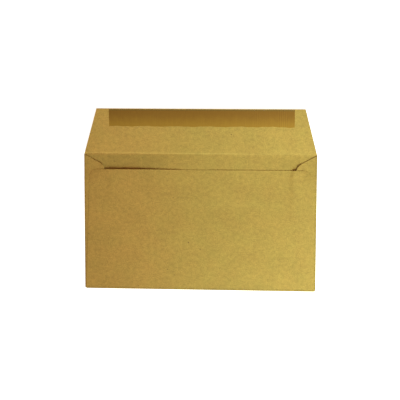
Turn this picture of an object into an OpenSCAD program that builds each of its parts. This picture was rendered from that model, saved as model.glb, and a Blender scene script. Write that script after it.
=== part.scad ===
// A small gummed wallet envelope, folded from one sheet of manila paper and lying open.
//
// The address panel lies face down on the table, with the middle of its outer face at the
// origin. The side flaps are folded in over it, the back panel is folded up from the bottom
// edge and glued down over them, and the gummed closing flap stands open past the top edge.
// X runs along the width, Y runs from the bottom fold to the closing flap, Z points up.

/* [Envelope] */
// Width between the two side folds
env_w = 152; // [110:1:230]
// Height from the bottom fold to the crease of the closing flap
env_h = 89; // [70:1:125]

/* [Paper] */
// Thickness of the paper
paper_t = 0.12; // [0.08:0.01:0.3]
// Clear height between the address panel and a side flap folded over it
side_gap = 0.44; // [0.2:0.02:1.2]
// Length of side fold that is cut away at each bottom corner, over the bottom fold's curve
bottom_relief = 0.1; // [0.1:0.1:2]
// Length of side fold that is cut away just under the crease of the closing flap
crease_relief = 0.2; // [0.1:0.1:2]

/* [Back panel] */
// Depth of the throat, from the crease of the closing flap down to the back panel's edge
throat_depth = 9.4; // [6:0.1:14]
// How far the back panel's side edge stands in from the side fold, at the bottom fold
back_inset_bottom = 0.8; // [0.6:0.1:5]
// The same inset at the throat
back_inset_top = 3.6; // [2:0.1:9]
// Radius of the back panel's two throat corners
back_corner_r = 5; // [1:0.5:9]

/* [Side flaps] */
// Width of a side flap, from the side fold to its inner edge
side_flap_w = 13.8; // [11:0.2:24]
// Slope of the shoulder, the side flap's upper edge, in degrees
shoulder_angle = 28; // [10:1:40]
// Radius where the shoulder turns into the inner edge
shoulder_r = 6; // [1:0.5:10]
// Slope of the heel, the side flap's lower edge, in degrees
heel_angle = 12; // [2:1:30]
// Radius where the heel turns into the inner edge
heel_r = 1.5; // [0.5:0.5:6]

/* [Closing flap] */
// Depth of the closing flap, from its crease to its free edge
flap_depth = 30.2; // [22:0.2:60]
// How far each end of the free edge stands in from the side fold
flap_inset = 8.6; // [2:0.2:20]
// Radius of the flap's two outer corners
flap_corner_r = 1; // [0.2:0.2:8]
// How far the flap springs up from the table, in degrees
flap_rise = 8; // [2:1:40]

/* [Gum on the flap] */
// Width of the gummed band
gum_w = 11.2; // [5:0.2:20]
// Bare paper left between each end of the band and the end of the free edge
gum_end_margin = 7.4; // [2:0.1:20]
// Bare paper left between the band and the flap's free edge
gum_margin = 0.2; // [0:0.1:3]
// Thickness of the dried gum
gum_t = 0.03; // [0.01:0.01:0.1]

/* [Glued seams] */
// Dry paper left along both sides of a glue line, where the panel overlaps the side flap
seam_margin = 1.6; // [0.4:0.2:2.4]
// Dry paper left past the glue line's ends, up to the throat corner and the heel
seam_end_margin = 3; // [1:0.5:15]
// Thickness of the glue line
seam_t = 0.04; // [0.01:0.01:0.1]

/* [Hidden] */

half_w = env_w / 2;
crease_y = env_h / 2;
bottom_y = -env_h / 2;
throat_y = crease_y - throat_depth;

// Heights of the layers, from the table up
side_flap_z = paper_t + side_gap;
seam_z = side_flap_z + paper_t;
back_panel_z = seam_z + seam_t;
pocket_gap = back_panel_z - paper_t;

// The folds' outer radii, which the flat panels stop short of
side_fold_r = side_gap / 2 + paper_t;
bottom_fold_r = pocket_gap / 2 + paper_t;
flat_half_w = half_w - side_fold_r;
flat_bottom_y = bottom_y + bottom_fold_r;

// Where the side folds and the bottom fold end, and the ledge of paper under the crease that
// half of the relief keeps apart from a side fold
side_fold_top_y = crease_y - crease_relief;
ledge_y = crease_y - crease_relief / 2;
side_fold_bottom_y = flat_bottom_y + bottom_relief;
bottom_fold_half_w = half_w - back_inset_bottom;

// The side flap's inner edge, and where the shoulder and the heel meet its line
side_flap_in = half_w - side_flap_w;
side_flap_flat_w = flat_half_w - side_flap_in;
shoulder_y = side_fold_top_y - side_flap_flat_w * tan(shoulder_angle);
heel_y = side_fold_bottom_y + side_flap_flat_w * tan(heel_angle);

// The glue line fills the strip where the back panel lies over the side flap
seam_in = side_flap_in + seam_margin;
seam_out = half_w - back_inset_top - seam_margin;
seam_bottom_y = heel_y + seam_end_margin;
seam_top_y = throat_y - back_corner_r - seam_end_margin;

// The closing flap as seen from above: how far it reaches past its crease, how far it rises
// there, and what its paper measures straight up through the slope
flap_run = flap_depth * cos(flap_rise);
flap_climb = flap_depth * sin(flap_rise);
flap_t_upright = paper_t / cos(flap_rise);
flap_edge_half_w = half_w - flap_inset;
gum_half_len = flap_edge_half_w - gum_end_margin;

// By how much a strip overshoots the outline that trims it
spare = 1;

// How far a fold's lower end runs on as flat paper, and the address panel's own edges, which
// lie halfway along it, so that fold and panel share paper and join as one sheet
fold_lap = 1;
panel_half_w = flat_half_w - fold_lap / 2;
panel_bottom_y = flat_bottom_y + fold_lap / 2;

// How many straight cuts make an arc
arc_steps = 10;

// The points of an outline whose corners are rounded by the radii that stand beside them
// Points run anticlockwise and every corner bulges outwards
function rounded(points, radii) =
    let(count = len(points))
    [
        for (i = [0 : count - 1])
            each radii[i] > 0
                ? corner_arc(
                    points[i],
                    points[(i + count - 1) % count],
                    points[(i + 1) % count],
                    radii[i]
                )
                : [points[i]]
    ];

// The arc that rounds one corner, from the edge before it to the edge after it
function corner_arc(corner, before, after, r) =
    let(
        to_before = (before - corner) / norm(before - corner),
        to_after = (after - corner) / norm(after - corner),
        half_angle = acos(to_before * to_after) / 2,
        middle = (to_before + to_after) / norm(to_before + to_after),
        centre = corner + middle * r / sin(half_angle),
        start = corner + to_before * r / tan(half_angle) - centre,
        start_angle = atan2(start.y, start.x)
    )
    arc(centre, r, start_angle, start_angle + 180 - 2 * half_angle);

// The points of an arc, from one angle to another
function arc(centre, r, from_angle, to_angle) =
    [
        for (step = [0 : arc_steps])
            let(angle = from_angle + (to_angle - from_angle) * step / arc_steps)
            centre + r * [cos(angle), sin(angle)]
    ];

// Paper folded flat on itself, seen from its end: it lies on the table, turns up to the left
// at the origin and runs back over itself, a gap above
module folded_edge(gap, run) {
    centre = [0, gap / 2 + paper_t];
    polygon([
        [fold_lap, 0],
        each arc(centre, gap / 2 + paper_t, 270, 90),
        [run, gap + 2 * paper_t],
        [run, gap + paper_t],
        each arc(centre, gap / 2, 90, 270),
        [fold_lap, paper_t]
    ]);
}

// The address panel on the table and the closing flap that springs up from it at the crease:
// one creased strip, seen from its end, trimmed to the outline that the sheet has from above
module address_panel_and_flap() {
    end_y = crease_y + flap_run + spare;
    end_z = (flap_run + spare) * tan(flap_rise);
    intersection() {
        rotate([90, 0, 90])
            linear_extrude(env_w + 2 * spare, center = true)
                polygon([
                    [bottom_y, 0],
                    [crease_y, 0],
                    [end_y, end_z],
                    [end_y, end_z + flap_t_upright],
                    [crease_y - paper_t * tan(flap_rise / 2), paper_t],
                    [bottom_y, paper_t]
                ]);
        linear_extrude(flap_depth)
            polygon(rounded(
                [
                    [-panel_half_w, panel_bottom_y],
                    [panel_half_w, panel_bottom_y],
                    [panel_half_w, ledge_y],
                    [half_w, ledge_y],
                    [half_w, crease_y],
                    [flap_edge_half_w, crease_y + flap_run],
                    [-flap_edge_half_w, crease_y + flap_run],
                    [-half_w, crease_y],
                    [-half_w, ledge_y],
                    [-panel_half_w, ledge_y]
                ],
                [0, 0, 0, 0, 0, flap_corner_r, flap_corner_r, 0, 0, 0]
            ));
    }
}

// The left side flap with the fold that carries it: one folded strip, trimmed to its outline
module side_flap() {
    intersection() {
        translate([-flat_half_w, crease_y, 0])
            rotate([90, 0, 0])
                linear_extrude(env_h)
                    folded_edge(side_gap, side_flap_flat_w + spare);
        translate([0, 0, -spare])
            linear_extrude(seam_z + 2 * spare)
                polygon(rounded(
                    [
                        [-half_w - spare, side_fold_bottom_y],
                        [-flat_half_w, side_fold_bottom_y],
                        [-side_flap_in, heel_y],
                        [-side_flap_in, shoulder_y],
                        [-flat_half_w, side_fold_top_y],
                        [-half_w - spare, side_fold_top_y]
                    ],
                    [0, 0, heel_r, shoulder_r, 0, 0]
                ));
    }
}

// The back panel with the bottom fold that it turns up on, made the same way
module back_panel() {
    intersection() {
        translate([-half_w, flat_bottom_y, 0])
            rotate([90, 0, 90])
                linear_extrude(env_w)
                    folded_edge(pocket_gap, throat_y - flat_bottom_y + spare);
        translate([0, 0, -spare])
            linear_extrude(back_panel_z + paper_t + 2 * spare)
                polygon(rounded(
                    [
                        [-bottom_fold_half_w, bottom_y - spare],
                        [bottom_fold_half_w, bottom_y - spare],
                        [bottom_fold_half_w, flat_bottom_y],
                        [half_w - back_inset_top, throat_y],
                        [back_inset_top - half_w, throat_y],
                        [-bottom_fold_half_w, flat_bottom_y]
                    ],
                    [0, 0, 0, back_corner_r, back_corner_r, 0]
                ));
    }
}

// The whole folded sheet
module envelope_blank() {
    color("#AE8E48") {
        address_panel_and_flap();
        side_flap();
        mirror([1, 0, 0])
            side_flap();
        back_panel();
    }
}

// The band of dried gum on the closing flap's inner side, along its free edge
module flap_gum() {
    color("#886932")
        translate([0, crease_y + flap_run, flap_climb + flap_t_upright])
            rotate([flap_rise, 0, 0])
                translate([-gum_half_len, -gum_margin - gum_w, 0])
                    cube([2 * gum_half_len, gum_w, gum_t]);
}

// The glue that holds the back panel down on the left side flap
module seam_glue_left() {
    color("#D9CFA8")
        translate([-seam_out, seam_bottom_y, seam_z])
            cube([seam_out - seam_in, seam_top_y - seam_bottom_y, seam_t]);
}

// The same glue line on the right
module seam_glue_right() {
    mirror([1, 0, 0])
        seam_glue_left();
}

envelope_blank();
flap_gum();
seam_glue_left();
seam_glue_right();
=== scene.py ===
"""A small gummed envelope of manila paper, lying open on a white table.

The folded sheet starts as one flat sheet. It is cut to the blank's outline, folded line by line,
eased out of its flat layers where the paper springs, and given its thickness. The gum is a thin
film laid on the closing flap, and the two glue lines inside keep the frame's own shape.
"""

import math
from collections import Counter

import bmesh
import bpy
from mathutils import Euler, Matrix, Vector


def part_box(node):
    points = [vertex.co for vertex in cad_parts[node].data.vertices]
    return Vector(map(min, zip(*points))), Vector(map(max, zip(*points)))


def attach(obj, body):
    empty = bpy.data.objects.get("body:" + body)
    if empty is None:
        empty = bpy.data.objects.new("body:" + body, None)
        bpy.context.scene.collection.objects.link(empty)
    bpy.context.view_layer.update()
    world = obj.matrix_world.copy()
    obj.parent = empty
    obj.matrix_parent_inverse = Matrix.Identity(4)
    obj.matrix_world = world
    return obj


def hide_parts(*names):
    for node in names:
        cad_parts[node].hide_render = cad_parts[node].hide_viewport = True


bl_info = {
    "name": "Manila envelope",
    "version": (1, 0, 0),
    "blender": (4, 5, 0),
    "location": "3D View > Sidebar > Envelope",
    "description": "Builds an open gummed envelope, its paper, its gum and the table it lies on",
    "category": "Object",
}

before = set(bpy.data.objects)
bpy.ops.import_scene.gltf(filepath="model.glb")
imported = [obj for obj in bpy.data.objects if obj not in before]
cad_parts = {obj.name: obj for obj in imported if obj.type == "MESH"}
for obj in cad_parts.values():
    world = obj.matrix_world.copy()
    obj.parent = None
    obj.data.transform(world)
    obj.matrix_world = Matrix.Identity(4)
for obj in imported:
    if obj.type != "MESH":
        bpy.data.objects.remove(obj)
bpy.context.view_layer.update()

MM = 0.001
SHEET_LOW, SHEET_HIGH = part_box("envelope_blank")
GUM_LOW, GUM_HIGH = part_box("flap_gum")
GLUE_LOW, GLUE_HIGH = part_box("seam_glue_right")

# Lengths are compared to this much, far under the paper's thickness
TINY = 1e-6

# How many cuts round each kind of corner on the flat sheet
FLAP_CUTS = 3
SHOULDER_CUTS = 9
HEEL_CUTS = 4
THROAT_CUTS = 8

# How much lower the paper lies where it is pressed at the throat, how far from the throat's edge
# it is pressed, and between which places it clings to the address panel
PRESSED_DOWN = 0.03 * MM
PRESSED_REACH = 8 * MM
CLINGS_FROM = -11 * MM
CLINGS_TO = 6 * MM

# The gum band's two ends, how far it stops short of the frame's band at the free edge, the size
# of its squares, and how far it lies over the paper
GUM_LEFT = -58.95 * MM
GUM_RIGHT = 61.15 * MM
GUM_SHORT = 0.05 * MM
GUM_STEP = 0.8 * MM
GUM_CLEAR = 0.002 * MM

# The soft lamp: where it stands, what it points at and how wide it is
LAMP_PLACE = (0.26, -0.55, 0.32)
LAMP_AIM = (0.94, 0.18, 0.28)
LAMP_SIZE = 0.42
TABLE_SIZE = 4
SENSOR_WIDTH = 36


class EnvelopeSizes(bpy.types.PropertyGroup):
    """Sizes of the sheet and of what is on it."""

    width: bpy.props.FloatProperty(
        name="Width",
        description="Width between the two side folds",
        default=SHEET_HIGH.x - SHEET_LOW.x,
        min=0.05,
        unit="LENGTH",
    )
    height: bpy.props.FloatProperty(
        name="Height",
        description="Height from the bottom fold to the crease of the closing flap",
        default=-2 * SHEET_LOW.y,
        min=0.05,
        unit="LENGTH",
    )
    paper: bpy.props.FloatProperty(
        name="Paper",
        description="Thickness of the paper",
        default=0.12 * MM,
        min=0.05 * MM,
        unit="LENGTH",
        precision=6,
    )
    throat_depth: bpy.props.FloatProperty(
        name="Throat depth",
        description="From the crease of the closing flap down to the back panel's edge",
        default=9.6 * MM,
        min=0,
        unit="LENGTH",
    )
    back_inset_bottom: bpy.props.FloatProperty(
        name="Back inset at the bottom",
        description="How far the back panel's side edge stands in from the side fold at the bottom",
        default=0.8 * MM,
        min=0,
        unit="LENGTH",
    )
    back_inset_top: bpy.props.FloatProperty(
        name="Back inset at the throat",
        description="How far the back panel's side edge stands in from the side fold at the throat",
        default=3.6 * MM,
        min=0,
        unit="LENGTH",
    )
    back_corner: bpy.props.FloatProperty(
        name="Throat corner radius",
        description="Radius of the back panel's two corners at the throat",
        default=5 * MM,
        min=0,
        unit="LENGTH",
    )
    side_flap: bpy.props.FloatProperty(
        name="Right side flap",
        description="From the right side fold to the inner edge of its flap, the wider one",
        default=13.9 * MM,
        min=0,
        unit="LENGTH",
    )
    side_flap_left: bpy.props.FloatProperty(
        name="Left side flap",
        description="From the left side fold to the inner edge of its flap",
        default=13.3 * MM,
        min=0,
        unit="LENGTH",
    )
    shoulder_angle: bpy.props.FloatProperty(
        name="Shoulder angle",
        description="Slope of the side flap's upper edge",
        default=math.radians(28),
        subtype="ANGLE",
    )
    shoulder_left: bpy.props.FloatProperty(
        name="Left shoulder radius",
        description="Radius where the left shoulder turns into the flap's inner edge",
        default=5 * MM,
        min=0,
        unit="LENGTH",
    )
    shoulder_right: bpy.props.FloatProperty(
        name="Right shoulder radius",
        description="Radius where the right shoulder turns into the flap's inner edge",
        default=8 * MM,
        min=0,
        unit="LENGTH",
    )
    heel_angle: bpy.props.FloatProperty(
        name="Heel angle",
        description="Slope of the side flap's lower edge",
        default=math.radians(12),
        subtype="ANGLE",
    )
    heel_corner: bpy.props.FloatProperty(
        name="Heel radius",
        description="Radius where the heel turns into the side flap's inner edge",
        default=1.5 * MM,
        min=0,
        unit="LENGTH",
    )
    bottom_relief: bpy.props.FloatProperty(
        name="Bottom relief",
        description="Length of side fold cut away at each corner over the bottom fold's curve",
        default=0.1 * MM,
        min=0,
        unit="LENGTH",
    )
    crease_relief: bpy.props.FloatProperty(
        name="Crease relief",
        description="Length of side fold that is cut away under the closing flap's crease",
        default=0.05 * MM,
        min=0,
        unit="LENGTH",
    )
    flap_depth: bpy.props.FloatProperty(
        name="Flap depth",
        description="Depth of the closing flap, measured along the paper",
        default=math.hypot(SHEET_HIGH.y + SHEET_LOW.y, SHEET_HIGH.z) + 0.25 * MM,
        min=0,
        unit="LENGTH",
    )
    flap_left: bpy.props.FloatProperty(
        name="Flap's left end",
        description="How far the closing flap's free edge stands in from the left side fold",
        default=9.0 * MM,
        min=0,
        unit="LENGTH",
    )
    flap_right: bpy.props.FloatProperty(
        name="Flap's right end",
        description="How far the closing flap's free edge stands in from the right side fold",
        default=8.0 * MM,
        min=0,
        unit="LENGTH",
    )
    flap_corner: bpy.props.FloatProperty(
        name="Flap corner radius",
        description="Radius of the closing flap's two outer corners",
        default=0.1 * MM,
        min=0,
        unit="LENGTH",
    )
    crease_kick: bpy.props.FloatProperty(
        name="Crease kick",
        description="How much steeper than the flap the paper leaves the crease",
        default=math.radians(10),
        subtype="ANGLE",
    )
    gum_film: bpy.props.FloatProperty(
        name="Gum",
        description="Thickness of the dried gum",
        default=0.03 * MM,
        min=0.005 * MM,
        unit="LENGTH",
        precision=6,
    )
    mesh_step: bpy.props.FloatProperty(
        name="Mesh step",
        description="Size of the squares that the sheet is modelled with",
        default=1.2 * MM,
        min=0.6 * MM,
        unit="LENGTH",
    )


class EnvelopeColours(bpy.types.PropertyGroup):
    """Colours of the paper, the gum and the glue."""

    paper: bpy.props.FloatVectorProperty(
        name="Paper",
        description="Ground colour of the manila paper",
        default=(0.418, 0.293, 0.0600),
        size=3,
        min=0,
        max=1,
        subtype="COLOR",
    )
    # Its warmer clouds are the paper's own; its lean towards the left is painted light, the warmer
    # light on that side
    warm_paper_and_painted_light: bpy.props.FloatVectorProperty(
        name="Warm paper",
        description="Colour that the paper leans to in its warmer clouds and towards the left",
        default=(0.465, 0.276, 0.0600),
        size=3,
        min=0,
        max=1,
        subtype="COLOR",
    )
    # This colour also darkens the dents a little, as painted shade
    fleck_and_dent_shade: bpy.props.FloatVectorProperty(
        name="Flecks",
        description="Colour of the dark recycled flecks",
        default=(0.10, 0.055, 0.018),
        size=3,
        min=0,
        max=1,
        subtype="COLOR",
    )
    gum_thick: bpy.props.FloatVectorProperty(
        name="Thick gum",
        description="Colour of the gum along the flap's free edge",
        default=(0.235, 0.111, 0.0118),
        size=3,
        min=0,
        max=1,
        subtype="COLOR",
    )
    gum_thin: bpy.props.FloatVectorProperty(
        name="Thin gum",
        description="Colour of the gum where the band thins out",
        default=(0.345, 0.187, 0.0197),
        size=3,
        min=0,
        max=1,
        subtype="COLOR",
    )
    gum_rim: bpy.props.FloatVectorProperty(
        name="Gum rim",
        description="Colour of the dull rim that the gum dries to along the free edge",
        default=(0.175, 0.108, 0.022),
        size=3,
        min=0,
        max=1,
        subtype="COLOR",
    )
    glue: bpy.props.FloatVectorProperty(
        name="Seam glue",
        description="Colour of the dried glue in the two side seams",
        default=(0.69, 0.62, 0.39),
        size=3,
        min=0,
        max=1,
        subtype="COLOR",
    )


class EnvelopeStudio(bpy.types.PropertyGroup):
    """The camera, the lamp, the room's light and the table."""

    lens: bpy.props.FloatProperty(
        name="Lens",
        description="Focal length of the camera, on a sensor 36 mm wide",
        default=100,
        min=10,
    )
    camera_turn: bpy.props.FloatVectorProperty(
        name="Camera turn",
        description="How the camera leans over the flap, to the side, and turns in the picture",
        default=(math.radians(6.685), math.radians(-4.072), math.radians(-0.642)),
        size=3,
        subtype="EULER",
    )
    camera_shift: bpy.props.FloatVectorProperty(
        name="Camera shift",
        description="Where the envelope's middle lies as the camera sees it, and how far away",
        default=(-0.155 * MM, -15.002 * MM, -727.63 * MM),
        size=3,
        subtype="TRANSLATION",
        unit="LENGTH",
    )
    key_power: bpy.props.FloatProperty(
        name="Key lamp",
        description="Power of the soft lamp in front and to the right, in watts",
        default=22.9,
        min=0,
    )
    key_colour: bpy.props.FloatVectorProperty(
        name="Key colour",
        description="Colour of that lamp's light",
        default=(0.82, 1.0, 0.96),
        size=3,
        min=0,
        max=1,
        subtype="COLOR",
    )
    room_light: bpy.props.FloatVectorProperty(
        name="Room light",
        description="Colour and strength of the even light from all round",
        default=(0.33, 0.19, 0.12),
        size=3,
        min=0,
        subtype="COLOR",
    )
    table_glow: bpy.props.FloatProperty(
        name="Table glow",
        description="How much the white table shines where it is seen, straight or mirrored",
        default=0.92,
        min=0,
        max=1,
    )


def settings():
    """The scene's three groups of properties."""
    scene = bpy.context.scene
    return scene.envelope_sizes, scene.envelope_colours, scene.envelope_studio


# Small helpers for working on a mesh as by hand


def deselect_objects():
    """Leaves no object selected."""
    bpy.ops.object.select_all(action="DESELECT")


def pick(piece):
    """Leaves one piece selected and active."""
    deselect_objects()
    piece.select_set(True)
    bpy.context.view_layer.objects.active = piece


def begin_edit(piece):
    """Opens one piece in edit mode, with nothing in it selected."""
    pick(piece)
    bpy.ops.object.mode_set(mode="EDIT")
    bpy.ops.mesh.select_all(action="DESELECT")


def end_edit():
    """Closes edit mode."""
    bpy.ops.object.mode_set(mode="OBJECT")


def select_faces(piece, wanted):
    """Selects the faces whose middle passes the test. Returns how many there are."""
    bpy.ops.mesh.select_mode(type="FACE")
    bpy.ops.mesh.select_all(action="DESELECT")
    mesh = bmesh.from_edit_mesh(piece.data)
    count = 0
    for face in mesh.faces:
        if wanted(face.calc_center_median()):
            face.select = True
            count += 1
    mesh.select_flush_mode()
    bmesh.update_edit_mesh(piece.data)
    return count


def select_numbers(piece, numbers):
    """Selects the vertices with these numbers."""
    bpy.ops.mesh.select_mode(type="VERT")
    bpy.ops.mesh.select_all(action="DESELECT")
    mesh = bmesh.from_edit_mesh(piece.data)
    mesh.verts.ensure_lookup_table()
    for number in numbers:
        mesh.verts[number].select = True
    mesh.select_flush_mode()
    bmesh.update_edit_mesh(piece.data)


def places(piece):
    """Where each vertex lies now, in edit mode."""
    return [vertex.co.copy() for vertex in bmesh.from_edit_mesh(piece.data).verts]


def apply_modifier(piece, kind, **values):
    """Adds a modifier to a piece with these settings and applies it."""
    pick(piece)
    modifier = piece.modifiers.new(kind.lower(), kind)
    for name, value in values.items():
        setattr(modifier, name, value)
    bpy.ops.object.modifier_apply(modifier=modifier.name)


def flat_grid(name, low, high, step, z):
    """A flat grid between two corners at a height, with squares of about one step."""
    size = (high[0] - low[0], high[1] - low[1])
    deselect_objects()
    bpy.ops.mesh.primitive_grid_add(
        x_subdivisions=round(size[0] / step),
        y_subdivisions=round(size[1] / step),
        size=1,
        calc_uvs=True,
        location=(0, 0, 0),
    )
    piece = bpy.context.active_object
    piece.name = name
    piece.data.name = name
    begin_edit(piece)
    bpy.ops.mesh.select_all(action="SELECT")
    bpy.ops.transform.resize(value=(size[0], size[1], 1), center_override=(0, 0, 0))
    middle = ((low[0] + high[0]) / 2, (low[1] + high[1]) / 2, z)
    bpy.ops.transform.translate(value=middle)
    end_edit()
    return piece


def score(piece, region, point, normal):
    """Puts a row of edges across a region of a flat piece, where a line crosses it."""
    if select_faces(piece, region):
        bpy.ops.mesh.bisect(
            plane_co=(point[0], point[1], 0),
            plane_no=(normal[0], normal[1], 0),
            threshold=TINY / 10,
        )


def trim(piece, region, point, outward):
    """Cuts away what a region of a flat piece has on the outward side of a line."""
    score(piece, region, point, outward)
    away = Vector(outward).normalized()
    line = away.dot(Vector(point))

    def outside(middle):
        return region(middle) and away.dot(middle.xy) > line

    if select_faces(piece, outside):
        bpy.ops.mesh.delete(type="FACE")


def trim_corner(piece, region, corner, first_normal, second_normal, radius, cuts):
    """Rounds an outward corner between two trimmed edges, by cuts that all touch one arc."""
    first = Vector(first_normal).normalized()
    second = Vector(second_normal).normalized()
    opening = first.angle(second)
    centre = Vector(corner) - (first + second).normalized() * radius / math.cos(opening / 2)
    for cut in range(1, cuts + 1):
        share = cut / (cuts + 1)
        outward = first.slerp(second, share)
        trim(piece, region, centre + outward * radius, outward)


def smooth(value):
    """Eases from 0 to 1 as the value goes from 0 to 1."""
    held = min(max(value, 0.0), 1.0)
    return held * held * (3 - 2 * held)


def follow(stops, value):
    """The height at a value along a row of (value, height) stops, eased from stop to stop."""
    if value <= stops[0][0]:
        return stops[0][1]
    for (start, low), (end, high) in zip(stops, stops[1:]):
        if value <= end:
            return low + (high - low) * smooth((value - start) / (end - start))
    return stops[-1][1]


class SheetPlan:
    """The flat blank that the envelope is folded from, worked out from the driving sizes."""

    # How many straight strips make the half round of a fold
    fold_steps = 8

    def __init__(self, sizes):
        self.sizes = sizes
        paper = sizes.paper
        self.half_w = sizes.width / 2
        self.crease_y = sizes.height / 2
        self.throat_y = self.crease_y - sizes.throat_depth

        # Heights of the middle of the paper in each layer
        self.address_z = paper / 2
        self.side_flap_z = GLUE_LOW.z - paper / 2
        self.back_panel_z = GLUE_HIGH.z + paper / 2
        self.side_r = (self.side_flap_z - self.address_z) / 2
        self.bottom_r = (self.back_panel_z - self.address_z) / 2

        # The flat panels end where the folds begin
        self.panel_x = self.half_w - self.side_r - paper / 2
        self.panel_y = -self.crease_y + self.bottom_r + paper / 2
        self.side_top_y = self.crease_y - sizes.crease_relief
        self.side_bottom_y = self.panel_y + sizes.bottom_relief
        self.bottom_x = self.half_w - sizes.back_inset_bottom

        # A fold is a row of short flat strips
        self.turn = math.pi / self.fold_steps
        self.side_strip = 2 * self.side_r * math.sin(self.turn / 2)
        self.bottom_strip = 2 * self.bottom_r * math.sin(self.turn / 2)
        self.side_fold = self.side_strip * self.fold_steps
        self.bottom_fold = self.bottom_strip * self.fold_steps

        # How far the flat sheet reaches
        self.side_flap_in = self.half_w - sizes.side_flap
        self.reach_x = self.panel_x + self.side_fold + self.panel_x - self.side_flap_in
        self.reach_low = self.panel_y - self.bottom_fold - (self.throat_y - self.panel_y)
        flap_run = SHEET_HIGH.y - self.crease_y
        flap_climb = SHEET_HIGH.z - paper
        self.flap_rise = math.atan2(flap_climb, flap_run)
        self.reach_high = self.crease_y + sizes.flap_depth

    def on_sheet(self, x, y):
        """Where a spot that is seen from above lies on the flat sheet."""
        if y > self.crease_y:
            return x, self.crease_y + (y - self.crease_y) / math.cos(self.flap_rise)
        if y < self.throat_y:
            return x, self.panel_y - self.bottom_fold - (y - self.panel_y)
        return x, y

    def half_round(self, strip):
        """The turns of a fold that brings the paper back over itself."""
        ends = [(0.0, self.turn / 2), (strip * self.fold_steps, self.turn / 2)]
        return ends[:1] + [(strip * n, self.turn) for n in range(1, self.fold_steps)] + ends[1:]

    def crease(self):
        """The turns of the closing flap's crease: steep at first, then easing back."""
        kick = self.sizes.crease_kick
        rise = self.flap_rise
        # How far past the crease each line lies, and its share of the turn
        up = [(0.5 * MM, 0.30), (0.7 * MM, 0.45), (0.9 * MM, 0.25)]
        back = [(1.3 * MM, 0.5), (1.6 * MM, 0.3), (1.9 * MM, 0.2)]
        turns = [(at, share * (rise + kick)) for at, share in up]
        slope = rise + kick
        climb = 0.0
        lines = up + back
        for number, (at, share) in enumerate(back):
            before = lines[number + len(up) - 1][0]
            climb += (at - before) * math.sin(slope)
            slope -= share * kick
            turns.append((at, -share * kick))
        # The last turn brings the free edge to the height that it has in the frame
        last = back[-1][0]
        depth = self.sizes.flap_depth
        wanted = math.asin((SHEET_HIGH.z - SHEET_LOW.z - self.sizes.paper - climb) / (depth - last))
        turns[-1] = (last, turns[-1][1] + wanted - slope)
        return turns


def cut_outline(piece, plan):
    """Cuts the flat sheet to the blank's outline: four flaps round the address panel."""
    sizes = plan.sizes
    top = plan.side_top_y
    low = plan.side_bottom_y

    # The closing flap with its two slanting ends
    def in_flap(middle):
        return middle.y > plan.crease_y

    def in_crease_strip(middle):
        return top < middle.y < plan.crease_y

    for side, inset in ((-1, sizes.flap_left), (1, sizes.flap_right)):
        base = Vector((side * plan.half_w, plan.crease_y))
        end = Vector((side * (plan.half_w - inset), plan.reach_high))
        along = end - base
        outward = Vector((along.y, -along.x)) * side
        trim(piece, in_crease_strip, (side * plan.panel_x, 0), (side, 0))
        trim(piece, in_flap, base, outward)
        trim_corner(piece, in_flap, end, outward, (0, 1), sizes.flap_corner, FLAP_CUTS)

    # The side flaps, with their shoulders, heels and rounded inner corners
    left_end = plan.reach_x - sizes.side_flap + sizes.side_flap_left
    for side, radius, far_x in (
        (-1, sizes.shoulder_left, left_end),
        (1, sizes.shoulder_right, plan.reach_x),
    ):
        fold_x = plan.panel_x
        flap_x = fold_x + plan.side_fold

        def in_side(middle, side=side, start=fold_x):
            return middle.x * side > start and middle.y < top + TINY

        def in_side_flap(middle, side=side, start=flap_x):
            return middle.x * side > start and middle.y < top + TINY

        shoulder = Vector((side * math.sin(sizes.shoulder_angle), math.cos(sizes.shoulder_angle)))
        heel = Vector((side * math.sin(sizes.heel_angle), -math.cos(sizes.heel_angle)))
        shoulder_end = top - (far_x - flap_x) * math.tan(sizes.shoulder_angle)
        heel_end = low + (far_x - flap_x) * math.tan(sizes.heel_angle)
        trim(piece, in_side, (0, low), (0, -1))
        trim(piece, in_side_flap, (side * far_x, 0), (side, 0))
        trim(piece, in_side_flap, (side * flap_x, top), shoulder)
        trim(piece, in_side_flap, (side * flap_x, low), heel)
        for corner, slope, round_off, cuts in (
            ((side * far_x, shoulder_end), shoulder, radius, SHOULDER_CUTS),
            ((side * far_x, heel_end), heel, sizes.heel_corner, HEEL_CUTS),
        ):
            trim_corner(piece, in_side_flap, corner, slope, (side, 0), round_off, cuts)

    # The back panel, tapered towards the throat, with two rounded corners
    def in_bottom(middle):
        return middle.y < plan.panel_y

    def in_back(middle):
        return middle.y < plan.panel_y - plan.bottom_fold

    def in_foot(middle):
        return plan.panel_y < middle.y < low

    for side in (-1, 1):
        base = Vector((side * plan.bottom_x, plan.panel_y - plan.bottom_fold))
        end = Vector((side * (plan.half_w - sizes.back_inset_top), plan.reach_low))
        along = end - base
        outward = Vector((-along.y, along.x)) * side
        trim(piece, in_bottom, (side * plan.bottom_x, 0), (side, 0))
        trim(piece, in_back, base, outward)
        trim_corner(piece, in_back, end, outward, (0, -1), sizes.back_corner, THROAT_CUTS)
        foot = Vector((side * plan.panel_x, low)) - Vector((side * plan.bottom_x, plan.panel_y))
        trim(piece, in_foot, (side * plan.bottom_x, plan.panel_y), Vector((foot.y, -foot.x)) * side)


def score_folds(piece, plan):
    """Puts a row of edges along every line that the sheet is folded on."""
    def anywhere(middle):
        return True

    for at, _ in plan.half_round(plan.side_strip):
        for side in (-1, 1):
            score(piece, anywhere, (side * (plan.panel_x + at), 0), (1, 0))
    for at, _ in plan.half_round(plan.bottom_strip):
        score(piece, anywhere, (0, plan.panel_y - at), (0, 1))
    for at, _ in [(0.0, 0.0)] + plan.crease():
        score(piece, anywhere, (0, plan.crease_y + at), (0, 1))
    score(piece, anywhere, (0, plan.side_top_y), (0, 1))
    score(piece, anywhere, (0, plan.side_bottom_y), (0, 1))


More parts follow.
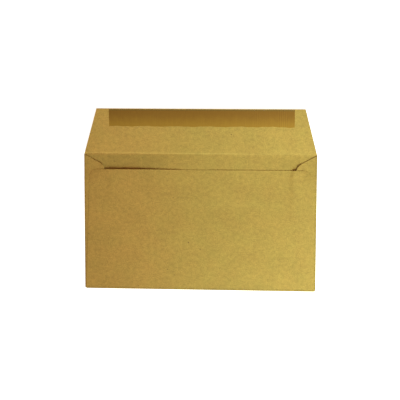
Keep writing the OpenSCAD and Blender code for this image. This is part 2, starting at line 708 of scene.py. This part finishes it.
def fold(piece, flat, reach, turns, axis, direction):
    """Folds the sheet line by line: what lies past each line is turned about it."""
    for at, angle in turns:
        now = places(piece)
        beyond = [n for n, point in enumerate(flat) if reach(point) > at + TINY]
        line = [n for n, point in enumerate(flat) if abs(reach(point) - at) <= TINY]
        select_numbers(piece, beyond)
        bpy.ops.transform.rotate(
            value=angle * direction,
            orient_axis=axis,
            orient_type="GLOBAL",
            center_override=now[line[0]],
        )


def spring_heights(plan):
    """How far each layer springs out of its flat place, as functions of x and y."""
    half_w = plan.half_w
    throat_y = plan.throat_y
    seam_top = GLUE_HIGH.y
    # From here up to the crease, both panels lift from the table in the middle
    lift_from = 6 * MM
    # Height of the back panel's edge along the throat, over its flat place
    throat = (
        (-62 * MM, 0.26 * MM),
        (-57 * MM, 0.26 * MM),
        (-50 * MM, 0.23 * MM),
        (-42 * MM, 0.16 * MM),
        (-34 * MM, -0.02 * MM),
        (-26 * MM, -0.24 * MM),
        (-18 * MM, -0.47 * MM),
        (-10 * MM, -0.585 * MM),
        (60.6 * MM, -0.575 * MM),
        (62 * MM, -0.40 * MM),
    )

    def lift(x, y):
        # The flap's spring lifts the middle of the crease, and the panels and the flap slope up
        # to it
        peak = 1.20 * MM * smooth((x + 40 * MM) / (40 * MM)) * smooth((66 * MM - x) / (46 * MM))
        top = plan.crease_y + 1 * MM
        if y > top:
            return peak * (plan.reach_high - y) / (plan.reach_high - top)
        climb = max((y - lift_from) / (top - lift_from), 0.0)
        return peak * climb * smooth(climb * 4)

    def side_flap(x, y):
        # Past the glue a side flap lies closer to the address panel, with its fold pressed flat,
        # but its inner corner curls up at the throat
        if x < 0:
            sag = 0.30 * MM - 0.14 * MM * smooth((half_w - 2 * MM - abs(x)) / (12 * MM))
            curl = 0.20 * MM
        else:
            sag = 0.32 * MM - 0.16 * MM * smooth((half_w - 8 * MM - x) / (5 * MM))
            curl = 0.42 * MM
        curl *= smooth((half_w - 8.5 * MM - abs(x)) / (5 * MM)) * smooth((40 * MM - y) / (3 * MM))
        return (curl - sag) * smooth((y - seam_top) / (9 * MM))

    def back_panel(x, y):
        # The panel lies loose between the seams: it bellies up from the bottom fold, and comes
        # to the throat's own heights over a long way, with its edge turned up a little
        loose = smooth((62 * MM - abs(x)) / (26 * MM))
        reach = 46 * MM - 16 * MM * smooth((-24 * MM - x) / (20 * MM))
        edge = follow(throat, x) * smooth((y - throat_y + reach) / reach)
        belly = 0.08 * MM * loose * smooth((y + plan.crease_y - 1 * MM) / (16 * MM))
        belly *= smooth((throat_y - 6 * MM - y) / (30 * MM))
        waves = 0.05 * MM * loose * math.sin(x * 145 + 0.6) * math.sin(y * 120 + x * 60)
        waves *= (
            smooth((throat_y - 4 * MM - y) / (12 * MM))
            * smooth((y + plan.crease_y) / (14 * MM))
        )
        lip = 0.03 * MM * loose * smooth((y - throat_y + 1.4 * MM) / (1.4 * MM))
        height = edge + belly + waves + lip + lift(x, y)
        near = smooth((y - throat_y + 5 * MM) / (4 * MM))
        tight = smooth((abs(x) - 58.4 * MM - near * MM) / (2.2 * MM))
        pressed = smooth((y - seam_top) / (3 * MM)) * smooth((abs(x) - 66 * MM) / (3 * MM))
        held = side_flap(x, y) - PRESSED_DOWN * pressed
        return height + (held - height) * tight

    def crease(x, y):
        # On the left the panel bulges in the throat and its crease is a little crumpled. On the
        # right the crease bends less sharply, and the flap springs up a little less
        past = y - plan.crease_y
        crumple = math.sin(x * 900) * math.sin(x * 390 + 1.0)
        crumple *= smooth((x + 74 * MM) / (10 * MM)) * smooth((-30 * MM - x) / (8 * MM))
        face = smooth((past - 0.6 * MM) / (0.6 * MM)) * smooth((3 * MM - past) / (1.6 * MM))
        right = smooth((x - 16 * MM) / (22 * MM))
        ridge = smooth((past + 0.7 * MM) / (1.3 * MM)) * smooth((2.7 * MM - past) / (2.0 * MM))
        ridge -= 1.9 * smooth((past - 0.8 * MM) / (0.6 * MM)) * smooth((16 * MM - past) / (12 * MM))
        bulge = smooth((-18 * MM - x) / (12 * MM)) * smooth((x + 66 * MM) / (6 * MM))
        bulge *= smooth(-past / (9 * MM)) * smooth((y - 18 * MM) / (14 * MM))
        less = smooth((x - 10 * MM) / (60 * MM)) * max(past - 4 * MM, 0.0) / (26 * MM)
        height = 0.07 * crumple * face + 0.05 * right * ridge + 0.10 * bulge - 1.1 * less
        return height * MM + lift(x, y)

    return side_flap, back_panel, crease


def spring_layers(piece, plan, flat):
    """Eases the layers out of their flat places, by heights held in a vertex group."""
    side_flap, back_panel, crease = spring_heights(plan)
    # No layer springs further than this, which stands for a weight of 1
    most = 2.0 * MM
    up = piece.vertex_groups.new(name="springs_up")
    down = piece.vertex_groups.new(name="springs_down")
    for number, point in enumerate(flat):
        height = 0.0
        if point.y < plan.panel_y - plan.bottom_fold:
            y = plan.panel_y + (plan.panel_y - plan.bottom_fold - point.y)
            height = back_panel(point.x, y)
        elif abs(point.x) > plan.panel_x + TINY and point.y < plan.side_top_y + TINY:
            past_fold = abs(point.x) - plan.panel_x - plan.side_fold
            x = plan.panel_x - max(past_fold, 0.0)
            turned = min((abs(point.x) - plan.panel_x) / plan.side_fold, 1.0)
            height = side_flap(math.copysign(x, point.x), point.y)
            height *= (1 - math.cos(math.pi * turned)) / 2
        elif point.y > 0:
            height = crease(point.x, point.y)
        if height > 0:
            up.add([number], height / most, "REPLACE")
        if height < 0:
            down.add([number], -height / most, "REPLACE")
    # Applying a modifier makes the piece's groups anew, so both names are read before the first
    for name, strength in ((up.name, most), (down.name, -most)):
        apply_modifier(
            piece,
            "DISPLACE",
            direction="Z",
            mid_level=0.0,
            strength=strength,
            vertex_group=name,
        )
    piece.vertex_groups.clear()


def press_throat(piece, plan, flat):
    """Presses the throat's edge thin and down at its corners and where it clings in the middle."""
    uses = Counter(key for face in piece.data.polygons for key in face.edge_keys)
    rim = {number for key, count in uses.items() if count == 1 for number in key}
    low = plan.reach_low + PRESSED_REACH
    pressed = [
        n for n in rim
        if flat[n].y < low
        and (abs(flat[n].x) > plan.side_flap_in or CLINGS_FROM < flat[n].x < CLINGS_TO)
    ]
    begin_edit(piece)
    select_numbers(piece, pressed)
    bpy.ops.transform.translate(value=(0, 0, -PRESSED_DOWN))
    end_edit()
    group = piece.vertex_groups.new(name="full_thickness")
    group.add(range(len(flat)), 1.0, "REPLACE")
    group.add(pressed, 0.0, "REPLACE")
    return group.name


def build_sheet():
    """The envelope's one folded sheet."""
    sizes, colours, _ = settings()
    plan = SheetPlan(sizes)
    piece = flat_grid(
        "folded_sheet",
        (-plan.reach_x, plan.reach_low),
        (plan.reach_x, plan.reach_high),
        sizes.mesh_step,
        plan.address_z,
    )
    begin_edit(piece)
    score_folds(piece, plan)
    cut_outline(piece, plan)
    flat = places(piece)
    half_side = plan.half_round(plan.side_strip)

    def past_left(point):
        return -plan.panel_x - point.x if point.y < plan.side_top_y + TINY else -1.0

    def past_right(point):
        return point.x - plan.panel_x if point.y < plan.side_top_y + TINY else -1.0

    fold(piece, flat, past_left, half_side, "Y", -1)
    fold(piece, flat, past_right, half_side, "Y", 1)
    fold(piece, flat, lambda p: plan.panel_y - p.y, plan.half_round(plan.bottom_strip), "X", 1)
    fold(piece, flat, lambda p: p.y - plan.crease_y, plan.crease(), "X", -1)
    end_edit()
    spring_layers(piece, plan, flat)
    apply_modifier(
        piece,
        "SOLIDIFY",
        thickness=sizes.paper,
        offset=0.0,
        use_even_offset=True,
        vertex_group=press_throat(piece, plan, flat),
        thickness_vertex_group=0.5,
    )
    piece.vertex_groups.clear()
    piece.data.materials.append(manila_paper(colours))
    pick(piece)
    bpy.ops.object.shade_smooth_by_angle(angle=math.radians(35))
    return piece


def build_gum(sheet):
    """The band of dried gum, a film that follows the closing flap."""
    sizes, colours, _ = settings()
    # It starts flat over the flap and is let down onto it
    above = SHEET_HIGH.z + 5 * MM
    low = Vector((GUM_LEFT, GUM_LOW.y))
    high = Vector((GUM_RIGHT, GUM_HIGH.y - GUM_SHORT))
    piece = flat_grid("gum_band", low, high, GUM_STEP, above)
    begin_edit(piece)
    flat = places(piece)
    rows = sorted({round(point.y, 7) for point in flat})
    # The lower edge wanders as the gum was rolled on
    for number, point in enumerate(flat):
        if point.y < rows[1]:
            wander = 0.18 * math.sin(point.x * 310) + 0.10 * math.sin(point.x * 930 + 1.3)
            droop = -0.25 * smooth((point.x - 54 * MM) / (5 * MM))
            select_numbers(piece, [number])
            bpy.ops.transform.translate(value=(0, (wander + droop) * MM, 0))
    end_edit()
    apply_modifier(
        piece,
        "SHRINKWRAP",
        target=sheet,
        wrap_method="PROJECT",
        use_project_z=True,
        use_positive_direction=False,
        use_negative_direction=True,
        wrap_mode="ABOVE_SURFACE",
        offset=GUM_CLEAR,
    )
    apply_modifier(piece, "SOLIDIFY", thickness=sizes.gum_film, offset=1.0)
    piece.data.materials.append(dried_gum(colours))
    return piece


# Materials


class Painter:
    """Lays out the nodes of one material."""

    def __init__(self, name):
        self.material = bpy.data.materials.new(name)
        self.material.use_nodes = True
        self.tree = self.material.node_tree
        self.tree.nodes.clear()
        self.shader = self.add("ShaderNodeBsdfPrincipled")
        self.output = self.add("ShaderNodeOutputMaterial")
        self.join(self.shader.outputs["BSDF"], self.output.inputs["Surface"])

    def add(self, kind, **values):
        """A node with these settings."""
        node = self.tree.nodes.new(kind)
        for name, value in values.items():
            setattr(node, name, value)
        return node

    def join(self, source, target):
        """Links an output to an input."""
        self.tree.links.new(source, target)

    def feed(self, target, value):
        """Sets an input to a number, or links it to an output."""
        if isinstance(value, bpy.types.NodeSocket):
            self.join(value, target)
        else:
            target.default_value = value

    def place(self, source, scale, turn=0.0, shift=(0, 0, 0)):
        """Coordinates scaled, turned and shifted."""
        node = self.add("ShaderNodeMapping")
        self.join(source, node.inputs["Vector"])
        node.inputs["Scale"].default_value = scale
        node.inputs["Rotation"].default_value = (0, 0, turn)
        node.inputs["Location"].default_value = shift
        return node.outputs["Vector"]

    def noise(self, place, scale, detail=2.0, roughness=0.5, distortion=0.0):
        """Soft noise between 0 and 1."""
        node = self.add("ShaderNodeTexNoise", noise_dimensions="3D")
        self.join(place, node.inputs["Vector"])
        node.inputs["Scale"].default_value = scale
        node.inputs["Detail"].default_value = detail
        node.inputs["Roughness"].default_value = roughness
        node.inputs["Distortion"].default_value = distortion
        return node.outputs["Fac"]

    def number(self, operation, first, second=0.0, third=0.0):
        """One step of arithmetic."""
        node = self.add("ShaderNodeMath", operation=operation)
        for socket, value in zip(node.inputs, (first, second, third)):
            self.feed(socket, value)
        return node.outputs["Value"]

    def between(self, value, low, high, start=0.0, end=1.0):
        """A value stretched from one range onto another, and held inside it."""
        node = self.add("ShaderNodeMapRange", interpolation_type="SMOOTHSTEP")
        names = ("Value", "From Min", "From Max", "To Min", "To Max")
        for name, number in zip(names, (value, low, high, start, end)):
            self.feed(node.inputs[name], number)
        return node.outputs["Result"]

    def mix(self, share, first, second):
        """One colour laid over another."""
        node = self.add("ShaderNodeMix", data_type="RGBA", blend_type="MIX")
        self.feed(node.inputs[0], share)
        for socket, value in ((node.inputs[6], first), (node.inputs[7], second)):
            self.feed(socket, value if isinstance(value, bpy.types.NodeSocket) else (*value, 1.0))
        return node.outputs[2]

    def shade(self, colour, amount):
        """A colour made lighter or darker by a number."""
        node = self.add("ShaderNodeVectorMath", operation="SCALE")
        self.feed(node.inputs[0], colour)
        self.feed(node.inputs["Scale"], amount)
        return node.outputs["Vector"]

    def spot(self, place, at, width):
        """A soft round spot, 1 in its middle and 0 past its rim."""
        node = self.add("ShaderNodeVectorMath", operation="DISTANCE")
        self.join(place, node.inputs[0])
        node.inputs[1].default_value = (*at, 0)
        return self.between(node.outputs["Value"], width * 0.15, width * 0.5, 1.0, 0.0)

    def spots(self, place, plan, marks):
        """Soft spots at these marks, each an x, a y and a width in millimetres."""
        total = None
        for x, y, width in marks:
            spot = self.spot(place, plan.on_sheet(x * MM, y * MM), width * MM)
            total = spot if total is None else self.number("MAXIMUM", total, spot)
        return total

    def bump(self, height, distance, strength):
        """Fine relief on the shader's normal."""
        node = self.add("ShaderNodeBump")
        node.inputs["Strength"].default_value = strength
        node.inputs["Distance"].default_value = distance
        self.join(height, node.inputs["Height"])
        self.join(node.outputs["Normal"], self.shader.inputs["Normal"])


# Marks on the paper as seen from above: x, y and width in millimetres
FLECKS = (
    (-7.3, -13.0, 1.3),
    (0.4, -17.5, 1.0),
    (-73.4, -7.8, 0.9),
    (-17.4, 16.4, 1.0),
    (20.4, 58.2, 1.2),
)
# The dents are pressed into the relief, and darkened a little in colour as painted shade
DENTS = (
    (-56.2, 40.3, 2.2),
    (-42.9, 42.3, 1.8),
    (-37.4, 42.7, 1.8),
)


def paper_places(painter, plan):
    """Coordinates in metres on the flat sheet, so that the pattern goes round its folds."""
    node = painter.add("ShaderNodeUVMap", uv_map="UVMap")
    size = (2 * plan.reach_x, plan.reach_high - plan.reach_low, 1.0)
    corner = (-plan.reach_x, plan.reach_low, 0)
    return painter.place(node.outputs["UV"], size, shift=corner)


def manila_paper(colours):
    """Recycled manila: soft clouds, flocs of pulp, short fibres and a few dark flecks, with painted
    warm light on the left and painted shade in the throat and in the dents.
    """
    painter = Painter("manila_paper")
    plan = SheetPlan(settings()[0])
    place = paper_places(painter, plan)
    clouds = painter.noise(place, 70, detail=2)
    flocs = painter.noise(place, 430, detail=4, roughness=0.6)
    grain = painter.noise(place, 1400, detail=3, roughness=0.6)
    fibres = None
    for turn, start in ((0.5, 0.0), (2.1, 0.3), (-0.7, 0.6)):
        stretched = painter.place(place, (300, 2600, 1), turn, (start, start, 0))
        thread = painter.noise(stretched, 1.0, detail=1, distortion=0.4)
        thread = painter.between(thread, 0.60, 0.78)
        fibres = thread if fibres is None else painter.number("MAXIMUM", fibres, thread)

    light = 0.195
    for part, share in ((clouds, 0.20), (flocs, 0.59), (grain, 0.80), (fibres, 0.10)):
        light = painter.number("MULTIPLY_ADD", part, share, light)
    along = painter.add("ShaderNodeSeparateXYZ")
    painter.join(place, along.inputs["Vector"])
    # Painted light: the paper is made warmer towards the left, where the light falls warmer
    painted_warm_light_left = painter.between(along.outputs["X"], -48 * MM, 5 * MM, 0.42, -0.20)
    warmth = painter.number("MULTIPLY_ADD", painter.noise(place, 95, detail=3), 0.9, painted_warm_light_left)
    # Painted shade: inside the throat, on the left, the paper is made darker and less warm where
    # the lifted back panel shades it
    throat = painter.between(along.outputs["Y"], 31 * MM, 35 * MM)
    for axis, low, high, start, end in (
        ("Y", 43.8 * MM, 44.8 * MM, 1.0, 0.0),
        ("X", -76.0 * MM, -75.4 * MM, 0.0, 1.0),
        ("X", -40 * MM, -5 * MM, 1.0, 0.0),
    ):
        edge = painter.between(along.outputs[axis], low, high, start, end)
        throat = painter.number("MULTIPLY", throat, edge)
    warmth = painter.number("MULTIPLY_ADD", throat, -0.4, warmth)
    light = painter.number("MULTIPLY_ADD", throat, -0.08, light)
    # The folds are a little darker, the bottom one most
    sideways = painter.number("ABSOLUTE", along.outputs["X"])
    downward = painter.number("MULTIPLY", along.outputs["Y"], -1.0)
    for reach, start, width, amount in (
        (sideways, plan.panel_x, plan.side_fold, -0.12),
        (downward, -plan.panel_y, plan.bottom_fold, -0.20),
    ):
        begins = painter.between(reach, start - 0.1 * MM, start + 0.1 * MM)
        end = start + width
        fades = painter.between(reach, end + 0.5 * MM, end + 1.4 * MM, 1.0, 0.0)
        darker = painter.number("MULTIPLY", begins, fades)
        light = painter.number("MULTIPLY_ADD", darker, amount, light)
    ground = painter.mix(warmth, colours.paper, colours.warm_paper_and_painted_light)
    ground = painter.shade(ground, light)

    cells = painter.add("ShaderNodeTexVoronoi", feature="F1")
    painter.join(place, cells.inputs["Vector"])
    cells.inputs["Scale"].default_value = 190
    dot = painter.between(cells.outputs["Distance"], 0.035, 0.065, 1.0, 0.0)
    parts = painter.add("ShaderNodeSeparateColor")
    painter.join(cells.outputs["Color"], parts.inputs["Color"])
    chosen = painter.between(parts.outputs["Red"], 0.70, 0.95)
    fleck_and_dent_shade = painter.number("MULTIPLY", dot, chosen)
    fleck_and_dent_shade = painter.number("MAXIMUM", fleck_and_dent_shade, painter.spots(place, plan, FLECKS))
    dents = painter.spots(place, plan, DENTS)
    # Painted shade: the dents are darkened a little towards the fleck colour
    fleck_and_dent_shade = painter.number("MAXIMUM", fleck_and_dent_shade, painter.number("MULTIPLY", dents, 0.25))
    surface = painter.mix(painter.number("MULTIPLY", fleck_and_dent_shade, 0.7), ground, colours.fleck_and_dent_shade)
    painter.join(surface, painter.shader.inputs["Base Color"])

    painter.shader.inputs["Roughness"].default_value = 0.82
    painter.shader.inputs["Specular IOR Level"].default_value = 0.3
    relief = grain
    for part, share in ((fibres, 0.5), (flocs, 1.2), (dents, -2.5)):
        relief = painter.number("MULTIPLY_ADD", part, share, relief)
    painter.bump(relief, 0.03 * MM, 0.8)
    return painter.material


def dried_gum(colours):
    """Dried gum: darkest along the free edge, thinning and paler below, with a soft gloss."""
    painter = Painter("dried_gum")
    node = painter.add("ShaderNodeUVMap", uv_map="UVMap")
    across = painter.add("ShaderNodeSeparateXYZ")
    painter.join(node.outputs["UV"], across.inputs["Vector"])
    place = painter.place(node.outputs["UV"], (0.12, 0.0112, 1))
    brushed = painter.noise(painter.place(place, (1500, 120, 1)), 1.0, detail=3)
    blotch = painter.noise(place, 260, detail=3)
    grain = painter.noise(place, 2200, detail=2)
    thick = painter.number("MULTIPLY_ADD", blotch, 0.35, across.outputs["Y"])
    thick = painter.between(thick, 0.05, 1.05)
    colour = painter.mix(thick, colours.gum_thin, colours.gum_thick)
    rim = painter.between(across.outputs["Y"], 0.89, 0.97, 0.0, 0.8)
    colour = painter.mix(rim, colour, colours.gum_rim)
    light = painter.number("MULTIPLY_ADD", brushed, 0.22, 0.72)
    light = painter.number("MULTIPLY_ADD", grain, 0.16, light)
    # It is laid on a little thicker on the left, and drawn out in fine streaks near the right end
    light = painter.number("MULTIPLY_ADD", across.outputs["X"], 0.10, light)
    comb = painter.number("SINE", painter.number("MULTIPLY", across.outputs["X"], 560))
    for start, end in ((0.915, 0.955), (0.775, 0.80)):
        streaks = painter.between(across.outputs["X"], start - 0.02, start)
        fade = painter.between(across.outputs["X"], end, end + 0.02, 1.0, 0.0)
        streaks = painter.number("MULTIPLY", streaks, fade)
        combed = painter.number("MULTIPLY", streaks, comb)
        light = painter.number("MULTIPLY_ADD", combed, 0.07, light)
    painter.join(painter.shade(colour, light), painter.shader.inputs["Base Color"])
    painter.shader.inputs["Roughness"].default_value = 0.5
    painter.shader.inputs["Specular IOR Level"].default_value = 0.2
    painter.bump(painter.number("MULTIPLY_ADD", brushed, 0.6, grain), 0.02 * MM, 0.6)
    return painter.material


def seam_glue(colours):
    """Dried seam glue: pale and slightly cloudy."""
    painter = Painter("seam_glue")
    node = painter.add("ShaderNodeTexCoord")
    place = node.outputs["Object"]
    cloud = painter.noise(place, 400, detail=3)
    light = painter.number("MULTIPLY_ADD", cloud, 0.3, 0.85)
    painter.join(painter.shade((*colours.glue,), light), painter.shader.inputs["Base Color"])
    painter.shader.inputs["Roughness"].default_value = 0.35
    painter.bump(cloud, 0.02 * MM, 0.5)
    return painter.material


def white_table(glow):
    """A white table that keeps its shadows and looks white to the camera."""
    painter = Painter("white_table")
    painter.shader.inputs["Base Color"].default_value = (0.86, 0.86, 0.86, 1)
    painter.shader.inputs["Roughness"].default_value = 0.9
    painter.shader.inputs["Specular IOR Level"].default_value = 0.1
    rays = painter.add("ShaderNodeLightPath")
    seen = painter.number("MAXIMUM", rays.outputs["Is Camera Ray"], rays.outputs["Is Glossy Ray"])
    seen = painter.number("MAXIMUM", seen, rays.outputs["Is Transmission Ray"])
    shine = painter.add("ShaderNodeEmission")
    painter.join(painter.number("MULTIPLY", seen, glow), shine.inputs["Strength"])
    both = painter.add("ShaderNodeAddShader")
    painter.join(painter.shader.outputs["BSDF"], both.inputs[0])
    painter.join(shine.outputs["Emission"], both.inputs[1])
    painter.join(both.outputs["Shader"], painter.output.inputs["Surface"])
    return painter.material


# The stage


def build_table(studio):
    """The white table top."""
    deselect_objects()
    bpy.ops.mesh.primitive_plane_add(size=TABLE_SIZE, location=(0, 0, 0))
    table = bpy.context.active_object
    table.name = "table_top"
    table.data.materials.append(white_table(studio.table_glow))


def build_lamp(studio):
    """A square soft lamp, turned past the envelope so that its light evens out along it."""
    place = Vector(LAMP_PLACE)
    aim = Vector(LAMP_AIM)
    deselect_objects()
    bpy.ops.object.light_add(type="AREA", location=place)
    lamp = bpy.context.active_object
    lamp.name = "key_lamp"
    lamp.data.size = LAMP_SIZE
    lamp.data.energy = studio.key_power
    lamp.data.color = studio.key_colour
    lamp.rotation_euler = (aim - place).to_track_quat("-Z", "Y").to_euler()


def build_room(studio):
    """Even light from all round, white where the camera sees it."""
    world = bpy.data.worlds.new("room")
    bpy.context.scene.world = world
    world.use_nodes = True
    tree = world.node_tree
    tree.nodes.clear()
    rays = tree.nodes.new("ShaderNodeLightPath")
    colour = tree.nodes.new("ShaderNodeMix")
    colour.data_type = "RGBA"
    background = tree.nodes.new("ShaderNodeBackground")
    output = tree.nodes.new("ShaderNodeOutputWorld")
    tree.links.new(rays.outputs["Is Camera Ray"], colour.inputs[0])
    colour.inputs[6].default_value = (*studio.room_light, 1)
    colour.inputs[7].default_value = (1, 1, 1, 1)
    tree.links.new(colour.outputs[2], background.inputs["Color"])
    background.inputs["Strength"].default_value = 1
    tree.links.new(background.outputs["Background"], output.inputs["Surface"])


def build_camera(studio):
    """The camera, from how the envelope lies before it."""
    turn = Euler(studio.camera_turn, "XYZ").to_matrix().to_4x4()
    seen = Matrix.Translation(studio.camera_shift) @ turn
    deselect_objects()
    bpy.ops.object.camera_add()
    camera = bpy.context.active_object
    camera.name = "camera"
    camera.matrix_world = seen.inverted()
    camera.data.lens = studio.lens
    camera.data.sensor_width = SENSOR_WIDTH
    camera.data.clip_start = 0.01
    bpy.context.scene.camera = camera
    bpy.context.scene.view_settings.view_transform = "Standard"


class ENVELOPE_OT_sheet(bpy.types.Operator):
    """Models the folded sheet of paper in place of the plain one"""

    bl_idname = "envelope.sheet"
    bl_label = "Folded sheet"

    def execute(self, context):
        piece = build_sheet()
        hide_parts("envelope_blank")
        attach(piece, "root")
        return {"FINISHED"}


class ENVELOPE_OT_gum(bpy.types.Operator):
    """Lays the band of dried gum on the closing flap"""

    bl_idname = "envelope.gum"
    bl_label = "Gum band"

    def execute(self, context):
        sheet = bpy.data.objects.get("folded_sheet")
        if sheet is None:
            raise RuntimeError("fold the sheet first: the gum is laid on its flap")
        piece = build_gum(sheet)
        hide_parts("flap_gum")
        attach(piece, "root")
        return {"FINISHED"}


class ENVELOPE_OT_glue(bpy.types.Operator):
    """Gives the two glue lines in the side seams their finish"""

    bl_idname = "envelope.glue"
    bl_label = "Seam glue"

    def execute(self, context):
        material = seam_glue(settings()[1])
        for name in ("seam_glue_left", "seam_glue_right"):
            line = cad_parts[name]
            line.data.materials.clear()
            line.data.materials.append(material)
        return {"FINISHED"}


class ENVELOPE_OT_studio(bpy.types.Operator):
    """Sets up the white table, the soft lamp, the room's light and the camera"""

    bl_idname = "envelope.studio"
    bl_label = "Table, lamp and camera"

    def execute(self, context):
        studio = settings()[2]
        build_table(studio)
        build_room(studio)
        build_lamp(studio)
        build_camera(studio)
        return {"FINISHED"}


class ENVELOPE_PT_panel(bpy.types.Panel):
    """Lists the envelope's sizes, colours and pieces"""

    bl_idname = "ENVELOPE_PT_panel"
    bl_label = "Envelope"
    bl_space_type = "VIEW_3D"
    bl_region_type = "UI"
    bl_category = "Envelope"

    def draw(self, context):
        for group in settings():
            column = self.layout.column(align=True)
            for name in group.bl_rna.properties.keys():
                if name not in ("rna_type", "name"):
                    column.prop(group, name)
        for operator in OPERATORS:
            self.layout.operator(operator.bl_idname)


GROUPS = {
    "envelope_sizes": EnvelopeSizes,
    "envelope_colours": EnvelopeColours,
    "envelope_studio": EnvelopeStudio,
}
OPERATORS = (ENVELOPE_OT_sheet, ENVELOPE_OT_gum, ENVELOPE_OT_glue, ENVELOPE_OT_studio)
CLASSES = (*GROUPS.values(), *OPERATORS, ENVELOPE_PT_panel)


def register():
    """Makes the classes known to Blender and hangs the properties on the scene."""
    for cls in CLASSES:
        bpy.utils.register_class(cls)
    for name, group in GROUPS.items():
        setattr(bpy.types.Scene, name, bpy.props.PointerProperty(type=group))


def unregister():
    """Takes back what register did."""
    for name in GROUPS:
        delattr(bpy.types.Scene, name)
    for cls in reversed(CLASSES):
        bpy.utils.unregister_class(cls)


def main():
    """Registers the classes, and builds every piece and the stage."""
    register()
    bpy.ops.envelope.sheet()
    bpy.ops.envelope.gum()
    bpy.ops.envelope.glue()
    bpy.ops.envelope.studio()


if __name__ == "__main__":
    main()
